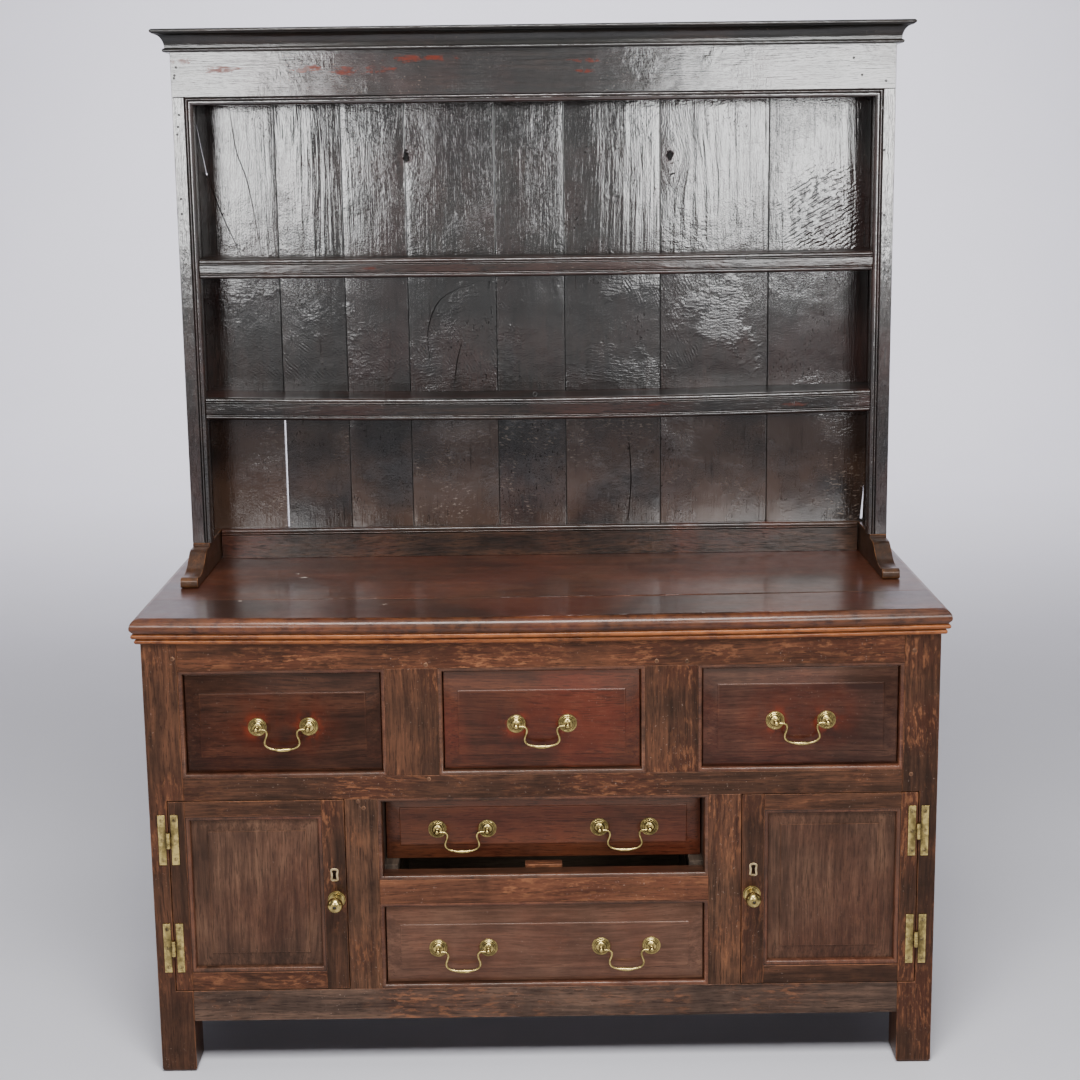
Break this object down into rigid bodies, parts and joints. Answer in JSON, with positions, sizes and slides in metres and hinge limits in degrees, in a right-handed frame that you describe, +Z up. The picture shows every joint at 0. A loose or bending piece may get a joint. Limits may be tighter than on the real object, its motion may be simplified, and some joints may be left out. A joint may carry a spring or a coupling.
{
  "type": "welsh dresser",
  "caption": "Oak dresser for crockery and linen: an open plate rack with beaded shelves stands on a base of fielded drawers and panelled cupboards with brass handles.",
  "frame": {"origin": "on the floor, under the middle of the dresser's box", "axes": "+Z up, +X to the right as seen from the front, and the front faces -Y"},
  "size_m": [1.5, 0.534, 1.97],
  "materials": {
    "red_oak": "old oak stained dark red-brown and waxed, with edges and mouldings worn to orange-brown",
    "drawer_oak": "smooth red-brown waxed oak drawer fronts; plain unpolished oak inside; brass handle posts",
    "top_oak": "red-brown oak boards, semi-gloss with small marks and a worn edge",
    "dark_oak": "near-black polished oak with a high gloss and a red-brown tinge on its edges",
    "inner_oak": "plain unpolished oak, hidden inside the base",
    "brass": "old brass, olive-yellow, dull in its hollows and bright on its high points"
  },
  "bodies": {
    "carcase": {"front_post_left": "red_oak", "front_post_right": "red_oak", "back_post_left": "red_oak", "back_post_right": "red_oak", "top_rail": "red_oak", "middle_rail": "red_oak", "bottom_rail": "red_oak", "drawer_rail": "red_oak", "upper_muntin_left": "red_oak", "upper_muntin_right": "red_oak", "lower_muntin_left": "red_oak", "lower_muntin_right": "red_oak", "end_panel_left": "red_oak", "end_panel_right": "red_oak", "base_back": "inner_oak", "cupboard_floor": "inner_oak", "partition_left": "inner_oak", "partition_right": "inner_oak", "drawer_deck": "inner_oak", "top_board_front": "top_oak", "top_board_back": "top_oak", "top_moulding": "red_oak", "upper_hinge_post_leaf_left": "brass", "upper_hinge_post_leaf_right": "brass", "lower_hinge_post_leaf_left": "brass", "lower_hinge_post_leaf_right": "brass", "rack_foot_left": "dark_oak", "rack_foot_right": "dark_oak", "rack_upright_left": "dark_oak", "rack_upright_right": "dark_oak", "rack_top": "dark_oak", "frieze": "dark_oak", "cornice": "dark_oak", "upper_shelf": "dark_oak", "lower_shelf": "dark_oak", "splash_rail": "dark_oak", "rack_back": "dark_oak"},
    "door_left": {"door_frame_left": "red_oak", "door_panel_left": "red_oak", "knob_left": "brass", "upper_hinge_door_leaf_left": "brass", "lower_hinge_door_leaf_left": "brass"},
    "door_right": {"door_frame_right": "red_oak", "door_panel_right": "red_oak", "knob_right": "brass", "upper_hinge_door_leaf_right": "brass", "lower_hinge_door_leaf_right": "brass"},
    "drawer_left": {"drawer_left": "drawer_oak"},
    "bail_left": {"bail_left": "brass"},
    "drawer_centre": {"drawer_centre": "drawer_oak"},
    "bail_centre": {"bail_centre": "brass"},
    "drawer_right": {"drawer_right": "drawer_oak"},
    "bail_right": {"bail_right": "brass"},
    "drawer_upper": {"drawer_upper": "drawer_oak"},
    "bail_upper_left": {"bail_upper_left": "brass"},
    "bail_upper_right": {"bail_upper_right": "brass"},
    "drawer_lower": {"drawer_lower": "drawer_oak"},
    "bail_lower_left": {"bail_lower_left": "brass"},
    "bail_lower_right": {"bail_lower_right": "brass"}
  },
  "joints": [
    {"name": "door_left_hinge", "type": "hinge", "parent": "carcase", "child": "door_left", "pos_m": [-0.70075, -0.2313, 0.3545], "axis": [0, 0, -1], "range_deg": [0, 170]},
    {"name": "door_right_hinge", "type": "hinge", "parent": "carcase", "child": "door_right", "pos_m": [0.70075, -0.2313, 0.3545], "axis": [0, 0, 1], "range_deg": [0, 170]},
    {"name": "drawer_left_slide", "type": "slide", "parent": "carcase", "child": "drawer_left", "axis": [0, -1, 0], "range_m": [0, 0.3]},
    {"name": "bail_left_swing", "type": "hinge", "parent": "drawer_left", "child": "bail_left", "pos_m": [-0.479, -0.243, 0.68555], "axis": [-1, 0, 0], "range_deg": [-18, 160]},
    {"name": "drawer_centre_slide", "type": "slide", "parent": "carcase", "child": "drawer_centre", "axis": [0, -1, 0], "range_m": [0, 0.3]},
    {"name": "bail_centre_swing", "type": "hinge", "parent": "drawer_centre", "child": "bail_centre", "pos_m": [0, -0.243, 0.68555], "axis": [-1, 0, 0], "range_deg": [-18, 160]},
    {"name": "drawer_right_slide", "type": "slide", "parent": "carcase", "child": "drawer_right", "axis": [0, -1, 0], "range_m": [0, 0.3]},
    {"name": "bail_right_swing", "type": "hinge", "parent": "drawer_right", "child": "bail_right", "pos_m": [0.479, -0.243, 0.68555], "axis": [-1, 0, 0], "range_deg": [-18, 160]},
    {"name": "drawer_upper_slide", "type": "slide", "parent": "carcase", "child": "drawer_upper", "axis": [0, -1, 0], "range_m": [0, 0.35]},
    {"name": "bail_upper_left_swing", "type": "hinge", "parent": "drawer_upper", "child": "bail_upper_left", "pos_m": [-0.154, -0.19, 0.46115], "axis": [-1, 0, 0], "range_deg": [-18, 160]},
    {"name": "bail_upper_right_swing", "type": "hinge", "parent": "drawer_upper", "child": "bail_upper_right", "pos_m": [0.154, -0.19, 0.46115], "axis": [-1, 0, 0], "range_deg": [-18, 160]},
    {"name": "drawer_lower_slide", "type": "slide", "parent": "carcase", "child": "drawer_lower", "axis": [0, -1, 0], "range_m": [0, 0.3]},
    {"name": "bail_lower_left_swing", "type": "hinge", "parent": "drawer_lower", "child": "bail_lower_left", "pos_m": [-0.154, -0.243, 0.24505], "axis": [-1, 0, 0], "range_deg": [-18, 160]},
    {"name": "bail_lower_right_swing", "type": "hinge", "parent": "drawer_lower", "child": "bail_lower_right", "pos_m": [0.154, -0.243, 0.24505], "axis": [-1, 0, 0], "range_deg": [-18, 160]}
  ]
}
